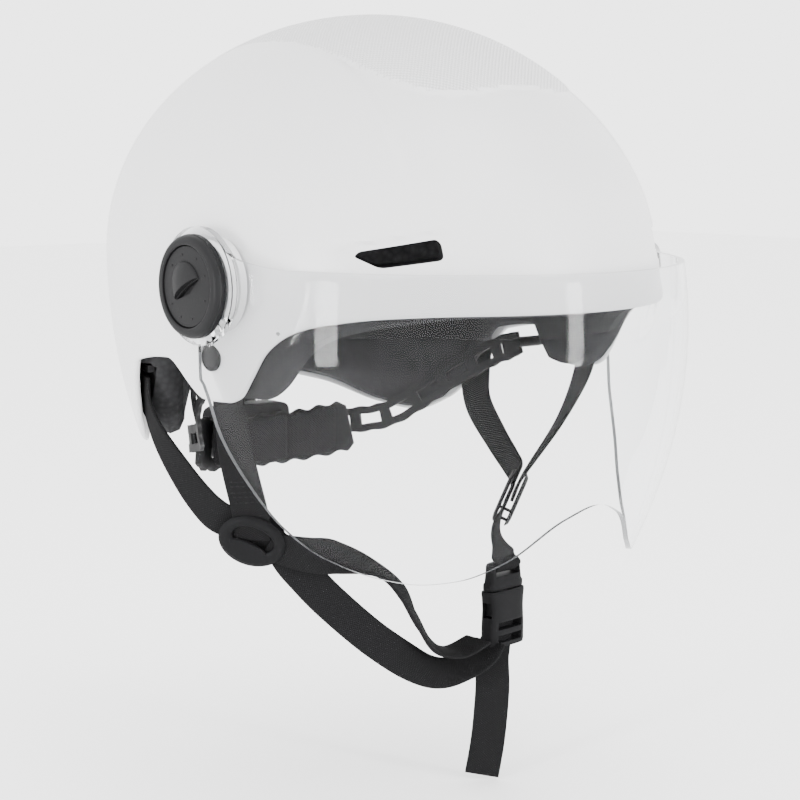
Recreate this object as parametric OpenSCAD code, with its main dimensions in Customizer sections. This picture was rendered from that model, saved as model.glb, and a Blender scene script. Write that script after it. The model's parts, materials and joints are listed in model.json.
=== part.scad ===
// Riding half helmet with a clear flip-up visor, a dial-fit cradle and a buckled chin strap.
// +Z is up, the wearer faces -Y and the wearer's right is -X.
// The origin is the centre of the head opening, just below the level of the front rim.

/* [Shell] */
// Half of the shell's length, middle to front
shell_half_length = 133; // [131:0.5:134]
// Half of the shell's width at its widest level
shell_half_width = 116; // [115:0.5:116]
// Height of the crown above the widest level
crown_rise = 111; // [108:1:113]
// Wall thickness of the outer shell
shell_wall = 3; // [2.6:0.1:3.2]
// Thickness of the foam liner
liner_wall = 21; // [19:1:22]

/* [Visor] */
// Half of the visor's width inside, at its widest level
visor_half_width = 118.4; // [118:0.2:119]
// Distance from the origin to the inside of the visor's front
visor_reach = 143; // [142:1:147]
// Sheet thickness of the visor
visor_wall = 2.4; // [2:0.1:2.6]
// Radius of the flat eye round each pivot
eye_r = 24; // [23:0.5:25]

/* [Pivots] */
// Distance of the pivot axis in front of the origin
pivot_forward = 25; // [24:0.5:26]
// Height of the pivot axis
pivot_z = 18; // [17:0.5:19]
// Radius of the neck that the visor turns on
neck_r = 11; // [10:0.5:12]
// Radius of the bezel round each turn knob
bezel_r = 21; // [20.5:0.5:22]
// Radius of each turn knob
knob_r = 16.4; // [15.5:0.1:16.6]

/* [Cradle] */
// Radius of the fit dial
dial_r = 17; // [15:0.5:18]
// Height of the dial's centre
dial_z = -66; // [-67:1:-65]

/* [Straps] */
// Width of the webbing
web_width = 16; // [15:0.5:16.5]
// Thickness of the webbing
web_thick = 1.6; // [1.2:0.1:1.6]

/* [Hidden] */
// Shell form: two half ellipsoids, narrower at the front, that meet at the widest level
widest_z = 20;
skirt_drop = 176;
egg = 0.05;
crown_lean = 10;
skirt_lean = 7;
// Lower edges, as rows of [turn from the front in degrees, height]
shell_rim = [[0, 8], [30, 8], [44, 7], [57, 3.5], [63, -0.5], [68, -8], [72, -20], [75, -28], [78, -30],
    [84, -30], [93.5, -14], [106, -17.5], [109, -24], [114, -40], [121, -53], [130, -59.5], [140, -56],
    [155, -45], [166, -41], [180, -41]];
liner_rim = [[0, 6], [26, 6], [36, 4.5], [46, 2], [55, -2], [60, -7], [64, -14.5], [70, -27], [74, -29.5],
    [84, -29.5], [93, -13], [106, -16], [109, -24], [114, -39], [121, -50.5], [130, -56.5], [140, -53],
    [155, -42], [166, -38.5], [180, -38.5]];
column_step = 8;
dome_rows = 12;
fit_gap = 0.2;
liner_gap = 0.8;
liner_out = shell_wall + liner_gap;
liner_in = liner_out + liner_wall;

// Side vents: outline in a plane square to the vent's own heading, as [towards the rear, height]
vent_outline = [[18.5, -1], [16.5, 1], [-13.5, 6], [-15.5, 4.2], [-16.5, -1], [-15.3, -2.3], [7, -5.3],
    [9.5, -5]];
vent_turn = 37;
vent_z = 32;
vent_in = 70;
far_x = 140;

// Visor outline, as rows of [turn from the front in degrees, height]
visor_top = [[0, 24.5], [45, 25], [60, 25.5], [68, 29], [76, 37], [80.2, 41.5]];
visor_bottom = [[0, -70], [8, -75], [20, -92], [30, -99.5], [38, -101], [46, -99], [58, -91], [66, -79],
    [72, -62], [77, -42], [80.2, -20]];
visor_end = 80.2;
visor_level = -5;
visor_curl = 0.185;
visor_cols = 56;
eye_lap = 0.2;
eye_blend = 26;
visor_rows = 12;

// Pivot stack, as distances from the middle plane
seat_x = 112.5;
seat_r = 19;
backing_x = 109.5;
base_x = 115.6;
washer_x = 116.4;
eye_in = 116.7;
eye_out = 119.9;
neck_x = 120.2;
knob_in = 120.6;
knob_out = 124.6;
bezel_x = 125.4;
grip_x = 127.6;
base_r = 18.5;
bezel_hole_r = knob_r + 0.3;
run_gap = 0.05;
screw_r = 2.4;
screw_head_r = 4.2;
screw_head_x = 118;
screw_head_h = 2;
screw_tip_x = 103.2;
post_r = 6.5;
post_gap = 0.2;
neck_gap = 1;
grip_w = 4;
grip_inset = 3;
grip_turn = 30;
nut_r = 8;
nut_barrel_r = 4;
nut_x = 103.6;
nut_face_x = 105;
nut_top_x = 108.3;
pocket_gap = 0.4;

// Strap rivets in the ear lobes
rivet_y = -23;
rivet_z = -11.5;
rivet_r = 5.5;
rivet_shank_r = 2.5;
rivet_gap = 0.4;
rivet_x = 112.6;
rivet_seat_x = 110.4;
rivet_tip_x = 103.3;
rivet_collar_x = 104.1;
strap_pocket_x = 100.5;
strap_pocket_z = -60;
strap_pocket_h = 62;
strap_pocket_w = web_width + 4;
strap_pocket_depth = 20;
rear_pocket_pos = [98.4, 36.6, -60];
rear_pocket_size = [20, 20, 40];
anchor_pos = [1, 1, 36];
anchor_size = [2.8, 18, 3];
rear_pocket_turn = 20;

// Comfort pads: thickness and gap to the liner
pad_thick = 6;
pad_gap = 0.9;
pad_steps = 12;
pad_rows = 4;
brow_pad_turns = [-48, 48];
brow_pad_heights = [10, 25];
side_pad_turns = [62, 92];
side_pad_heights = [2, 30];
rear_pad_turns = [152, 208];
rear_pad_heights = [-22, 14];
crown_pad_gap = 2;
crown_pad_x = [-24, 24];
crown_pad_y = [-40, 58];

// Cradle: a band with its pad, the dial's housing and the two arms with their racks
band_route = [[[-46, 82, -65], [0, 0, 1]], [[-28, 94.5, -69.5], [0, 0, 1]], [[0, 100, -71], [0, 0, 1]],
    [[28, 94.5, -69.5], [0, 0, 1]], [[46, 82, -65], [0, 0, 1]]];
band_w = 26;
band_t = 2.2;
nape_route = [[[-38, 82, -66], [0, 0, 1]], [[-23, 91.5, -70], [0, 0, 1]], [[0, 95.9, -71], [0, 0, 1]],
    [[23, 91.5, -70], [0, 0, 1]], [[38, 82, -66], [0, 0, 1]]];
nape_w = 24;
nape_t = 5;
arm_route = [[[84, 0, -20], [0, 0, 1]], [[84, 20, -27], [0, 0.2, 1]], [[77.5, 37.5, -37], [0, 0.4, 1]],
    [[67.3, 52, -49], [0, 0.4, 1]], [[56, 66.3, -59.4], [0, 0.3, 1]], [[47, 87, -64], [0, 0.1, 1]],
    [[34, 100.5, -66], [0, 0, 1]], [[25, 106.5, -66], [0, 0, 1]]];
arm_w = 13;
arm_t = 1.8;
housing_y = 101.4;
housing_w = 46;
housing_h = 26;
housing_t = 11;
housing_skin = 2;
cavity_h = 16;
shaft_r = 2.6;
pinion_r = 4;
dial_t = 8;
dial_gap = 0.4;
dial_flutes = 16;
dial_y = housing_y + housing_t + dial_gap;
shaft_y = housing_y + housing_t - housing_skin - dial_gap;
rack_h = 3.4;
rack_l = 40;
rack_end = 25;
rack_lift = pinion_r + rack_h / 2;
rack_y = housing_y + (housing_t - arm_t) / 2;
pinion_depth = 0.5;
flute_r = 2;
stud_r = 2.5;
stud_in = 81.6;
stud_out = 97;

// Sliders: two oval plates on posts, with the webbing between them
slider_pos = [76.5, -2, -94];
slider_w = 30;
slider_l = 25;
slider_t = 9;
slider_plate = 2;
slider_post_r = 0.8;
slider_posts = [-3.5, 3.5];
slider_post_inset = 1.4;
slider_window_r = 6;
slider_turn = 42;
slider_tip = -30;
slider_lean = 23;

// Buckle
buckle_pos = [53, -22, -131.5];
buckle_turn = 8;
buckle_w = 25;
buckle_t = 10.5;
socket_l = 27;
socket_cave_l = 14;
socket_cave_w = 19.4;
socket_cave_t = 5.6;
lock_slot = 3.6;
lock_bar = 2.6;
plug_l = 13;
plug_t = 8;
plug_slot_l = 4.2;
prong_w = 3.6;
prong_l = 12;
prong_t = 4.6;
prong_gap = 0.5;
mouth_gap = 0.3;
plug_bar = 2;
catch_l = 7;
catch_z = -9;

// Routes: a row is a point on the webbing's middle line and the way its width runs
front_strap = [[[107, -23, -4], [0.155, 0.99, 0]], [[105.6, -23, -18], [0.155, 0.99, 0]],
    [[103, -23.5, -33], [0.3, 0.95, 0]], [[94.5, -17, -57], [0.6, 0.8, 0]],
    [[80.4, -6.5, -83.5], [0.75, 0.67, 0]], [[77.3, -2.9, -94.5], [0.75, 0.67, 0]]];
rear_strap = [[[99.1, 45.7, -25.4], [-0.35, 0.93, 0]], [[97.6, 46.2, -38], [-0.35, 0.93, 0]],
    [[94.5, 40.7, -54], [-0.2, 0.85, -0.4]], [[92.5, 25, -70], [0, 0.68, -0.73]],
    [[90.7, 12.9, -79.8], [0.1, 0.6, -0.79]], [[88.3, 6, -84.5], [0.14, 0.59, -0.8]],
    [[82.4, 1.9, -88.2], [0.14, 0.59, -0.8]], [[76.6, -1.3, -91.6], [0.14, 0.59, -0.8]]];
chin_right_low = [[[-75.6, -2.1, -92.3], [0.14, -0.59, 0.8]], [[-65.1, -7.2, -99.7], [0.14, -0.59, 0.8]],
    [[-57.3, -9.6, -109.3], [0.4, -0.24, 0.85]], [[-44, -15, -125], [0.5, -0.3, 0.8]],
    [[-21, -21, -146], [0.5, -0.3, 0.85]], [[4, -25, -162], [0.2, 0.4, 0.85]],
    [[24, -26, -164], [-0.1, 0.9, 0.4]], [[37, -25, -161], [-0.2, 1, 0.2]]];
chin_right_high = [[[-71.6, -6.8, -96.5], [0.14, -0.59, 0.8]], [[-66.2, -10.2, -99.3], [0.14, -0.59, 0.8]],
    [[-57.5, -18, -101.5], [0.15, -0.2, 0.95]], [[-47, -24, -103], [0.2, 0.5, 0.75]],
    [[-31, -29, -108.5], [0.4, 0.8, 0.3]], [[-17, -31, -121], [0.6, 0.6, 0.1]],
    [[-7, -30, -136], [0.6, 0.7, 0]], [[5, -27, -149.5], [0.5, 0.8, 0.1]], [[20, -25, -156], [0, 1, 0.1]],
    [[36, -24, -153], [-0.2, 1, 0]]];
chin_left = [[[75.7, -2.2, -92.4], [-0.14, -0.59, 0.8]], [[65.5, -7.6, -99], [-0.14, -0.59, 0.8]],
    [[58.5, -13, -105.5], [-0.55, -0.4, 0.6]], [[54.2, -20.6, -111.6], [-0.95, -0.2, 0.2]],
    [[53.4, -21.9, -116.2], [-0.99, -0.14, 0]]];
tail_route = [[[44.5, -24.5, -161.5], [0.9, -0.4, 0]], [[43, -26, -178], [0.8, -0.6, 0]],
    [[40.5, -26, -200], [0.8, -0.6, 0]], [[37, -25.5, -217.5], [0.8, -0.6, 0]]];
web_rings = 5;
ring_inset = 0.02;
ring_reach = 0.01;

// ---- helper functions ----
function mix(a, b, t) = a + (b - a) * t;
function unit(v) = v / norm(v);

// Smooth curve through rows of [place, height], flat at its ends and never overshooting a row
function slope(rows, i) = (rows[i + 1][1] - rows[i][1]) / (rows[i + 1][0] - rows[i][0]);
function tangent(rows, i) =
    i == 0 || i == len(rows) - 1 || slope(rows, i - 1) * slope(rows, i) <= 0 ? 0 :
    2 * slope(rows, i - 1) * slope(rows, i) / (slope(rows, i - 1) + slope(rows, i));
function row_before(rows, x) = max([for (k = [0:len(rows) - 2]) if (k == 0 || rows[k][0] <= x) k]);
function height_at(rows, x) = let (
    i = row_before(rows, x),
    w = rows[i + 1][0] - rows[i][0],
    t = min(1, max(0, (x - rows[i][0]) / w)))
    rows[i][1] * (1 + 2 * t) * (1 - t) * (1 - t) + rows[i + 1][1] * t * t * (3 - 2 * t)
    + tangent(rows, i) * w * t * (1 - t) * (1 - t) - tangent(rows, i + 1) * w * t * t * (1 - t);

// A point on the shell's form: turn from the front, tip from the crown, inset from the outside
function lean(tip) = let (h = cos(tip)) tip < 90 ? crown_lean * h * (1.4 - 0.4 * h) : skirt_lean * h;
function form(turn, tip, inset) = let (r = sin(tip)) [
    (shell_half_width - inset) * r * sin(turn) * (1 - egg * cos(turn)),
    lean(tip) - (shell_half_length - inset) * r * cos(turn),
    widest_z + (tip < 90 ? crown_rise - inset : skirt_drop) * cos(tip)];
function tip_at(z, inset) = acos((z - widest_z) / (z > widest_z ? crown_rise - inset : skirt_drop));

// Columns of a dome: each stretch between two rows of the rim, in steps of column_step or less
function half_columns(rim) = [for (i = [0:len(rim) - 2]) let (
    w = rim[i + 1][0] - rim[i][0],
    n = ceil(w / column_step)) for (k = [0:n - 1]) rim[i][0] + w * k / n];
function all_columns(rim) = let (h = half_columns(rim), n = len(h))
    concat(h, [180], [for (i = [n - 1:-1:1]) 360 - h[i]]);
function rim_turn(turn) = turn > 180 ? 360 - turn : turn;

function dome_points(rim, inset) = let (cols = all_columns(rim)) concat([form(0, 0, inset)],
    [for (i = [1:dome_rows]) for (a = cols)
        form(a, tip_at(height_at(rim, rim_turn(a)), inset) * i / dome_rows, inset)]);
function dome_skin(n, start, flip) = [for (i = [0:dome_rows - 1]) for (j = [0:n - 1]) let (
    k = (j + 1) % n,
    a = i == 0 ? start : start + 1 + (i - 1) * n + j,
    b = i == 0 ? start : start + 1 + (i - 1) * n + k,
    c = start + 1 + i * n + k,
    d = start + 1 + i * n + j)
    each i == 0 ? [flip ? [a, c, d] : [a, d, c]] : flip ? [[a, b, c], [a, c, d]] : [[a, c, b], [a, d, c]]];
function dome_edge(n, skin) = let (last = 1 + (dome_rows - 1) * n) [for (j = [0:n - 1]) let (
    k = (j + 1) % n)
    each [[last + j, last + k, skin + last + k], [last + j, skin + last + k, skin + last + j]]];

// A closed dome between two insets, cut off along a rim
module dome(rim, outside, inside) {
    n = len(all_columns(rim));
    skin = 1 + dome_rows * n;
    polyhedron(points = concat(dome_points(rim, outside), dome_points(rim, inside)),
        faces = concat(dome_skin(n, 0, true), dome_skin(n, skin, false), dome_edge(n, skin)));
}

// One side's part, made for the left side and mirrored for the right
module sided(side) mirror([side < 0 ? 1 : 0, 0, 0]) children();
// A cylinder along +X between two distances from the middle plane, on the pivot axis or at a given point
module rod(r, from, to, y = -pivot_forward, z = pivot_z) translate([from, y, z])
    rotate([0, 90, 0]) cylinder(r = r, h = to - from, $fn = 64);

module vent() translate([0, 0, vent_z]) rotate([0, 0, -90 + vent_turn]) rotate([90, 0, 90])
    translate([0, 0, vent_in]) linear_extrude(far_x) polygon(vent_outline);
module vents() {
    for (side = [-1, 1]) sided(side) vent();
}

module shell_side_cuts() {
    rod(seat_r, seat_x, far_x);
    rod(screw_r + run_gap, backing_x - 5, far_x);
    rod(rivet_r + fit_gap, rivet_seat_x, far_x, rivet_y, rivet_z);
    rod(rivet_shank_r + run_gap, rivet_tip_x, far_x, rivet_y, rivet_z);
}
module outer_shell() color("white") difference() {
    union() {
        dome(shell_rim, 0, shell_wall);
        for (side = [-1, 1]) sided(side) rod(seat_r + 1, backing_x, seat_x);
    }
    for (side = [-1, 1]) sided(side) shell_side_cuts();
    vents();
}

module liner_side_cuts() {
    rod(seat_r + 1 + pocket_gap, backing_x - pocket_gap, far_x);
    rod(nut_r + pocket_gap, screw_tip_x - pocket_gap, far_x);
    translate([strap_pocket_x, rivet_y - strap_pocket_w / 2, strap_pocket_z])
        cube([strap_pocket_depth, strap_pocket_w, strap_pocket_h]);
    translate(rear_pocket_pos) rotate([0, 0, rear_pocket_turn]) cube(rear_pocket_size);
    rod(stud_r + run_gap, stud_in, stud_out + pocket_gap, arm_route[0][0][1], arm_route[0][0][2]);
}
module foam_liner() color("dimgray") difference() {
    dome(liner_rim, liner_out, liner_in);
    for (side = [-1, 1]) sided(side) liner_side_cuts();
    vents();
}

// A slab between two grids of the same size: outer skin first, then the inner one
function grid_skin(rows, cols, start, flip) = [for (i = [0:rows - 1]) for (j = [0:cols - 1]) let (
    a = start + i * (cols + 1) + j,
    b = a + 1,
    c = b + cols + 1,
    d = a + cols + 1) each flip ? [[a, b, c], [a, c, d]] : [[a, c, b], [a, d, c]]];
function edge_quad(a, b, skin) = [[a, skin + a, skin + b], [a, skin + b, b]];
function grid_wall(rows, cols, skin) = let (w = cols + 1, last = rows * w) concat(
    [for (j = [0:cols - 1]) each edge_quad(j, j + 1, skin)],
    [for (j = [0:cols - 1]) each edge_quad(last + j + 1, last + j, skin)],
    [for (i = [0:rows - 1]) each edge_quad((i + 1) * w, i * w, skin)],
    [for (i = [0:rows - 1]) each edge_quad(i * w + cols, (i + 1) * w + cols, skin)]);
module slab(outer, inner, rows, cols) {
    polyhedron(points = concat(outer, inner),
        faces = concat(grid_skin(rows, cols, 0, true), grid_skin(rows, cols, len(outer), false),
            grid_wall(rows, cols, len(outer))));
}

// A pad that lines the shell's form between two turns and two heights
function pad_grid(turns, heights, inset) = [for (i = [0:pad_rows]) for (j = [0:pad_steps]) let (
    z = mix(heights[1], heights[0], i / pad_rows))
    form(mix(turns[0], turns[1], j / pad_steps), tip_at(z, inset), inset)];
module lining_pad(turns, heights) {
    outside = liner_in + pad_gap;
    slab(pad_grid(turns, heights, outside), pad_grid(turns, heights, outside + pad_thick),
        pad_rows, pad_steps);
}
module brow_pad() color("#222222") lining_pad(brow_pad_turns, brow_pad_heights);
module side_pad(side) color("#222222") sided(side) lining_pad(side_pad_turns, side_pad_heights);
module rear_pad() color("#222222") lining_pad(rear_pad_turns, rear_pad_heights);

// The crown pad's height over a point, under the liner
function crown_height(x, y, inset) = widest_z + (crown_rise - inset) * sqrt(1
    - pow(x / (shell_half_width - inset), 2) - pow((y - crown_lean) / (shell_half_length - inset), 2));
function crown_grid(inset) = [for (i = [0:pad_steps]) for (j = [0:pad_steps]) let (
    x = mix(crown_pad_x[0], crown_pad_x[1], j / pad_steps),
    y = mix(crown_pad_y[0], crown_pad_y[1], i / pad_steps)) [x, y, crown_height(x, y, inset)]];
module crown_pad() color("#222222") {
    top = liner_in + crown_pad_gap;
    slab(crown_grid(top + pad_thick), crown_grid(top), pad_steps, pad_steps);
}

function ease(t) = let (k = min(1, max(0, t))) k * k * (3 - 2 * k);
function visor_point(turn, z, out) = let (
    s = 1 - visor_curl * pow((z - visor_level) / 100, 2),
    x = (visor_half_width * s + out) * sin(turn),
    y = -(visor_reach * s + out) * cos(turn),
    flat = (eye_in + eye_lap + out) * sign(turn),
    k = ease((norm([y + pivot_forward, z - pivot_z]) - eye_r) / eye_blend)) [mix(flat, x, k), y, z];
function visor_grid(out) = [for (i = [0:visor_rows]) for (j = [0:visor_cols]) let (
    turn = mix(-visor_end, visor_end, j / visor_cols),
    top = height_at(visor_top, abs(turn)),
    low = height_at(visor_bottom, abs(turn))) visor_point(turn, mix(top, low, i / visor_rows), out)];
module visor() color("lightcyan", 0.4) difference() {
    union() {
        slab(visor_grid(visor_wall), visor_grid(0), visor_rows, visor_cols);
        for (side = [-1, 1]) sided(side) rod(eye_r, eye_in, eye_out);
    }
    for (side = [-1, 1]) sided(side) rod(neck_r + run_gap, eye_in - 5, eye_out + 5);
}

// Pivot stack of one side, from the shell outwards
module pivot_base(side) color("gainsboro") sided(side) difference() {
    union() {
        rod(base_r, seat_x, base_x);
        rod(neck_r, base_x, neck_x);
    }
    rod(screw_r + run_gap, seat_x - 1, neck_x);
    rod(post_r + run_gap, screw_head_x - screw_head_h, neck_x + 1);
}
module pivot_washers() color("silver") for (side = [-1, 1]) sided(side) difference() {
    rod(base_r, base_x, washer_x);
    rod(neck_r + run_gap, base_x - 1, washer_x + 1);
}
module pivot_screws() color("silver") for (side = [-1, 1]) sided(side) {
    rod(screw_r, screw_tip_x + 1, screw_head_x - screw_head_h);
    rod(screw_head_r, screw_head_x - screw_head_h, screw_head_x);
}
module pivot_nuts() color("silver") for (side = [-1, 1]) sided(side) difference() {
    union() {
        rod(nut_r, nut_x, nut_face_x);
        rod(nut_barrel_r, nut_face_x, nut_top_x);
    }
    rod(screw_r + run_gap, nut_x - 1, backing_x + 1);
}
module bezel(side) color("#333333") sided(side) difference() {
    rod(bezel_r, eye_out, bezel_x);
    rod(bezel_hole_r, knob_in - fit_gap, bezel_x + 1);
    rod(neck_r + neck_gap, eye_out - 1, bezel_x);
}
module turn_knob(side) color("#3c3c3c") sided(side) {
    rod(post_r, screw_head_x + post_gap, knob_in);
    rod(knob_r, knob_in, knob_out);
    intersection() {
        rod(knob_r - grip_inset, knob_out, grip_x);
        translate([knob_out, -pivot_forward, pivot_z]) rotate([-grip_turn, 0, 0])
            translate([0, -knob_r, -grip_w / 2]) cube([grip_x - knob_out, 2 * knob_r, grip_w]);
    }
}

module strap_rivets() color("#333333") for (side = [-1, 1]) sided(side) {
    rod(rivet_r, rivet_seat_x, rivet_x, rivet_y, rivet_z);
    rod(rivet_shank_r, rivet_tip_x + rivet_gap, rivet_seat_x, rivet_y, rivet_z);
}
module rivet_collars() color("silver") for (side = [-1, 1]) sided(side) difference() {
    rod(rivet_r, rivet_tip_x, rivet_collar_x, rivet_y, rivet_z);
    rod(rivet_shank_r + run_gap, rivet_tip_x - 1, rivet_collar_x + 1, rivet_y, rivet_z);
}
module rear_anchors() color("#333333") for (side = [-1, 1]) sided(side)
    translate(rear_pocket_pos) rotate([0, 0, rear_pocket_turn]) translate(anchor_pos) cube(anchor_size);

// A ribbon along a route: smooth through the rows, square in section
function route_part(rows, i) = rows[min(len(rows) - 1, max(0, i))];
function smooth(a, b, c, d, t) = b + t * (c - a) / 2 + t * t * (2 * a - 5 * b + 4 * c - d) / 2
    + t * t * t * (3 * b - 3 * c + d - a) / 2;
function route_at(rows, s, k) = let (i = min(floor(s), len(rows) - 2)) smooth(route_part(rows, i - 1)[k],
    route_part(rows, i)[k], route_part(rows, i + 1)[k], route_part(rows, i + 2)[k], s - i);
function ribbon_ring(rows, s, w, t) = let (
    way = unit(route_at(rows, s + ring_reach, 0) - route_at(rows, s - ring_reach, 0)),
    face = unit(cross(way, route_at(rows, s, 1))),
    side = cross(face, way),
    p = route_at(rows, s, 0))
    [p - side * w / 2 - face * t / 2, p + side * w / 2 - face * t / 2, p + side * w / 2 + face * t / 2,
    p - side * w / 2 + face * t / 2];
module ribbon(rows, w, t) {
    rings = (len(rows) - 1) * web_rings;
    last = len(rows) - 1 - ring_inset;
    polyhedron(
        points = [for (i = [0:rings])
            each ribbon_ring(rows, min(last, max(ring_inset, i / web_rings)), w, t)],
        faces = concat([[0, 1, 2, 3]], [[4 * rings + 3, 4 * rings + 2, 4 * rings + 1, 4 * rings]],
            [for (i = [0:rings - 1]) for (k = [0:3]) let (
                a = 4 * i + k,
                b = 4 * i + (k + 1) % 4) each [[a, a + 4, b + 4], [a, b + 4, b]]]));
}
module web(rows) ribbon(rows, web_width, web_thick);

module front_strap_side(side) color("#1c1c1c") sided(side) difference() {
    web(front_strap);
    rod(rivet_shank_r + run_gap, rivet_tip_x, far_x, rivet_y, rivet_z);
}
module rear_strap_side(side) color("#1c1c1c") sided(side) web(rear_strap);

// A slider: the straps run between its two plates, which meet in posts along the lower edge
module slider_oval(z0, z1) translate([0, 0, z0]) linear_extrude(z1 - z0) scale([1, slider_l / slider_w])
    circle(d = slider_w, $fn = 48);
module slider(side) color("#262626") sided(side) translate(slider_pos)
    rotate([0, 0, slider_turn]) rotate([slider_lean, 0, 0]) rotate([90, slider_tip, 0]) {
        slider_oval(-slider_t / 2, slider_plate - slider_t / 2);
        difference() {
            slider_oval(slider_t / 2 - slider_plate, slider_t / 2);
            cylinder(r = slider_window_r, h = slider_t, $fn = 48);
        }
        for (x = slider_posts) translate([x, slider_post_inset - slider_l / 2, 0])
            cylinder(r = slider_post_r, h = slider_t - slider_plate, center = true, $fn = 24);
    }

// Cradle pieces
module cradle_studs() color("#333333") for (side = [-1, 1]) sided(side)
    rod(stud_r, stud_in, stud_out, arm_route[0][0][1], arm_route[0][0][2]);
module cradle_arm(side) color("#2a2a2a") sided(side) {
    difference() {
        ribbon(arm_route, arm_w, arm_t);
        rod(stud_r + run_gap, stud_in, stud_out, arm_route[0][0][1], arm_route[0][0][2]);
    }
    translate([rack_end - rack_l, rack_y, dial_z + side * rack_lift - rack_h / 2])
        cube([rack_l, arm_t, rack_h]);
}
module cradle_band() color("#2a2a2a") ribbon(band_route, band_w, band_t);
module nape_pad() color("#222222") ribbon(nape_route, nape_w, nape_t);
module housing_block(y0, y1) translate([-housing_w / 2, y0, dial_z - housing_h / 2])
    cube([housing_w, y1 - y0, housing_h]);
module spindle(r, y0, y1) translate([0, y1, dial_z]) rotate([90, 0, 0])
    cylinder(r = r, h = y1 - y0, $fn = 48);
module dial_housing() color("#2a2a2a") difference() {
    housing_block(housing_y, housing_y + housing_t - housing_skin);
    translate([-housing_w, housing_y + housing_skin, dial_z - cavity_h / 2])
        cube([2 * housing_w, housing_t, cavity_h]);
}
module housing_cover() color("#2a2a2a") difference() {
    housing_block(housing_y + housing_t - housing_skin, housing_y + housing_t);
    spindle(shaft_r + run_gap, housing_y, housing_y + housing_t + 1);
}
module dial_pinion() color("#444444") {
    spindle(pinion_r - pinion_depth, housing_y + housing_skin + dial_gap, shaft_y);
    spindle(shaft_r, shaft_y, dial_y);
}
module fit_dial() color("#303030") difference() {
    spindle(dial_r, dial_y, dial_y + dial_t);
    for (i = [0:dial_flutes - 1]) rotate_about_dial(i * 360 / dial_flutes)
        translate([0, housing_y + housing_t, dial_z + dial_r + flute_r / 2]) rotate([-90, 0, 0])
            cylinder(r = flute_r, h = 2 * dial_t, $fn = 24);
}
module rotate_about_dial(angle) translate([0, 0, dial_z]) rotate([0, angle, 0]) translate([0, 0, -dial_z])
    children();

// Buckle: its own frame has X across, Y through and Z up, with the origin at the socket's mouth
module buckle_frame() translate(buckle_pos) rotate([0, 0, buckle_turn]) children();
module block(w, t, z0, z1) translate([-w / 2, -t / 2, z0]) cube([w, t, z1 - z0]);
module buckle_plug() color("#262626") buckle_frame() difference() {
    block(buckle_w - 1, plug_t, mouth_gap, plug_l);
    block(web_width + 1, plug_t + 2, plug_l - plug_bar - plug_slot_l, plug_l - plug_bar);
}
module buckle_prongs() color("#262626") buckle_frame() for (side = [-1, 1])
    translate([side * ((socket_cave_w - prong_w) / 2 - prong_gap), 0, 0])
        block(prong_w, prong_t, -prong_l, mouth_gap);
module buckle_socket() color("#262626") buckle_frame() difference() {
    block(buckle_w, buckle_t, -socket_l, 0);
    block(socket_cave_w, socket_cave_t, -socket_cave_l, 1);
    block(buckle_w + 2, prong_t + 2 * mouth_gap, catch_z - catch_l / 2, catch_z + catch_l / 2);
    for (z = [-socket_l + lock_bar, -socket_l + 2 * lock_bar + lock_slot])
        block(web_width + 1, buckle_t + 2, z, z + lock_slot);
}
module strap_tail() color("#1c1c1c") web(tail_route);

module chin_strap(rows) color("#1c1c1c") web(rows);

outer_shell();
foam_liner();
brow_pad();
crown_pad();
side_pad(-1);  // side_pad_right
side_pad(1);  // side_pad_left
rear_pad();
pivot_base(-1);  // pivot_base_right
pivot_base(1);  // pivot_base_left
pivot_washers();
pivot_screws();
pivot_nuts();
visor();
bezel(-1);  // bezel_right
bezel(1);  // bezel_left
turn_knob(-1);  // turn_knob_right
turn_knob(1);  // turn_knob_left
strap_rivets();
rivet_collars();
rear_anchors();
cradle_studs();
cradle_arm(-1);  // cradle_arm_right
cradle_arm(1);  // cradle_arm_left
cradle_band();
nape_pad();
dial_housing();
housing_cover();
fit_dial();
dial_pinion();
front_strap_side(-1);  // front_strap_right
front_strap_side(1);  // front_strap_left
rear_strap_side(-1);  // rear_strap_right
rear_strap_side(1);  // rear_strap_left
slider(-1);  // slider_right
slider(1);  // slider_left
chin_strap(chin_right_low);  // chin_strap_right_low
chin_strap(chin_right_high);  // chin_strap_right_high
chin_strap(chin_left);  // chin_strap_left
buckle_plug();
buckle_prongs();
buckle_socket();
strap_tail();
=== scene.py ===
# Looks of the riding half helmet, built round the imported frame. The form is worked out in millimetres,
# as in the CAD, and raw_object turns it into metres. Camera, lights, textures and blend ends are in metres.
import json
import math

import bmesh
import bpy
import numpy as np
from mathutils import Matrix, Vector


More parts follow.
